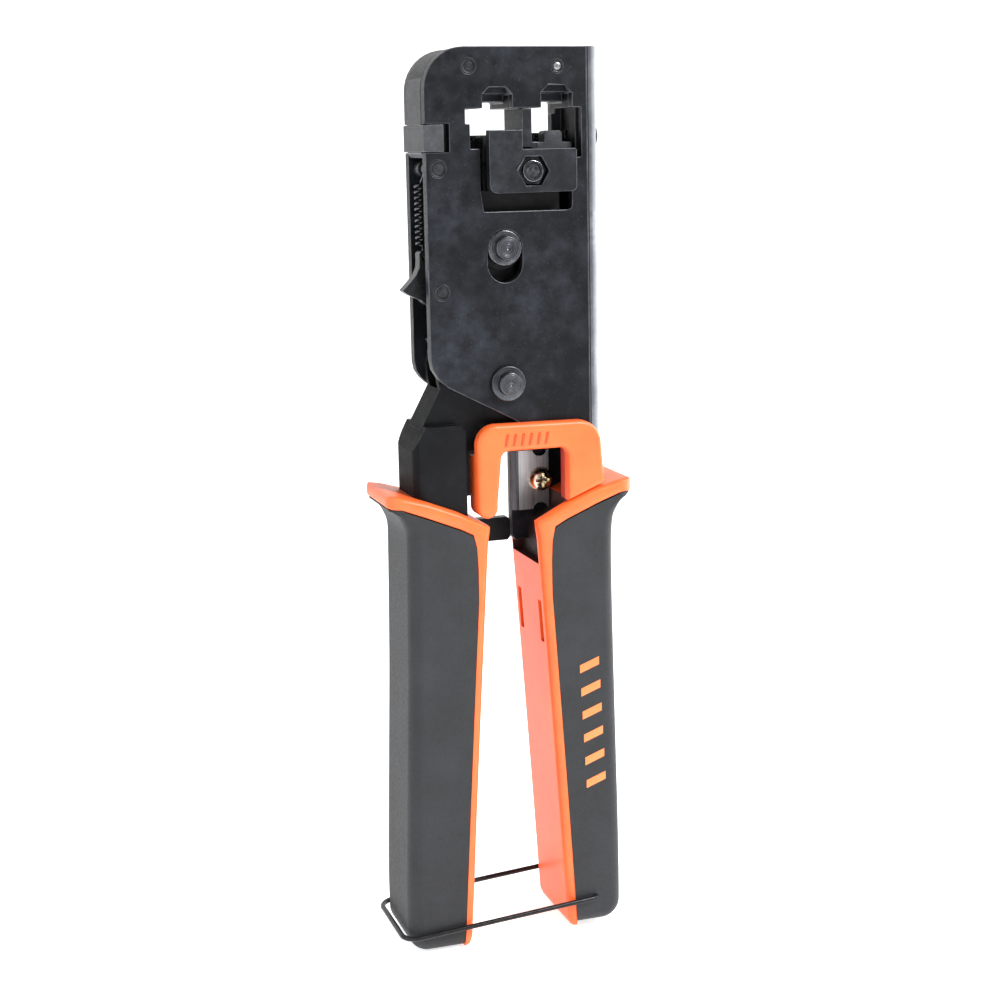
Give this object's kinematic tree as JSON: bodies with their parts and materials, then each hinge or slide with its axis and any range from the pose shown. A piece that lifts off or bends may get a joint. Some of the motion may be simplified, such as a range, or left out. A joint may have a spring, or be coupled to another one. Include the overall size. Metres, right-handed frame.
{
  "type": "modular plug crimping tool",
  "caption": "Ratcheting hand crimper for modular plugs with folded steel head, toggle-driven die carriage, strip station with finger guard, two-colour grips and a wire handle lock.",
  "frame": {"origin": "centre of the bounding box at the bottom, on the plane through the ends of the handles", "axes": "+Z from the handles towards the die head along the tool's length; +X towards the fixed handle and the folded spine; -Y is the face with the strip station and the carriage's nut"},
  "size_m": [0.054, 0.0234, 0.1891],
  "materials": {
    "black_oxide": "satin, mottled black oxide",
    "die_steel": "matte blackened steel",
    "pin_steel": "turned, blackened",
    "bright_steel": "ground",
    "spring_steel": "dark drawn wire",
    "zinc": "zinc plated",
    "brass_plate": "yellow zinc plated",
    "bronze": "sintered",
    "orange_plastic": "satin moulded",
    "grip_rubber": "matte soft grip",
    "inlay_orange": "printed"
  },
  "bodies": {
    "frame": {"frame_channel": "black_oxide", "upper_die_block": "die_steel", "head_rivets": "pin_steel", "block_screw": "pin_steel", "pivot_pin": "pin_steel", "pivot_pin_clip": "zinc", "spring_anchor_pin": "pin_steel", "pawl_pin": "pin_steel", "pawl_spring": "spring_steel", "strip_guard": "orange_plastic", "strip_blade": "bright_steel", "blade_screw": "brass_plate", "right_liner": "orange_plastic", "right_grip": "grip_rubber", "grip_inlay": "inlay_orange"},
    "moving_handle": {"drive_lever": "black_oxide", "ratchet_sector": "die_steel", "sector_rivets": "pin_steel", "knee_pin": "bright_steel", "pivot_bush": "bronze", "left_liner": "orange_plastic", "left_grip": "grip_rubber"},
    "toggle": {"toggle_link": "die_steel"},
    "carriage": {"die_carriage": "die_steel", "carriage_plate": "black_oxide", "carriage_nut": "zinc", "carriage_screw": "zinc", "drive_pin": "pin_steel", "drive_pin_clip": "zinc", "contact_driver_8p": "bright_steel", "strain_pusher_8p": "die_steel", "contact_driver_6p": "bright_steel", "strain_pusher_6p": "die_steel"},
    "pawl": {"ratchet_pawl": "die_steel"},
    "bail": {"wire_bail": "black_oxide"}
  },
  "joints": [
    {"name": "handle_hinge", "type": "hinge", "parent": "frame", "child": "moving_handle", "pos_m": [0, 0, 0.1215], "axis": [0, 1, 0], "range_deg": [0, 28]},
    {"name": "link_knee", "type": "hinge", "parent": "moving_handle", "child": "toggle", "pos_m": [0, 0, 0.13535], "axis": [0, 1, 0], "range_deg": [-56, 0]},
    {"name": "carriage_pin", "type": "hinge", "parent": "toggle", "child": "carriage", "pos_m": [0, 0, 0.1492], "axis": [0, 1, 0], "range_deg": [0, 28]},
    {"name": "pawl_hinge", "type": "hinge", "parent": "frame", "child": "pawl", "pos_m": [-0.0136, 0, 0.1407], "axis": [0, 1, 0], "range_deg": [0, 12], "stiffness_Nm_per_rad": 0.05},
    {"name": "bail_swing", "type": "hinge", "parent": "frame", "child": "bail", "pos_m": [0.0172, 0, 0.0072], "axis": [0, 1, 0], "range_deg": [-168, 0]}
  ],
  "couplings": [
    {"joint": "link_knee", "follows": "handle_hinge", "ratio": -2},
    {"joint": "carriage_pin", "follows": "handle_hinge", "ratio": 1},
    {"joint": "bail_swing", "follows": "handle_hinge", "ratio": -6}
  ]
}
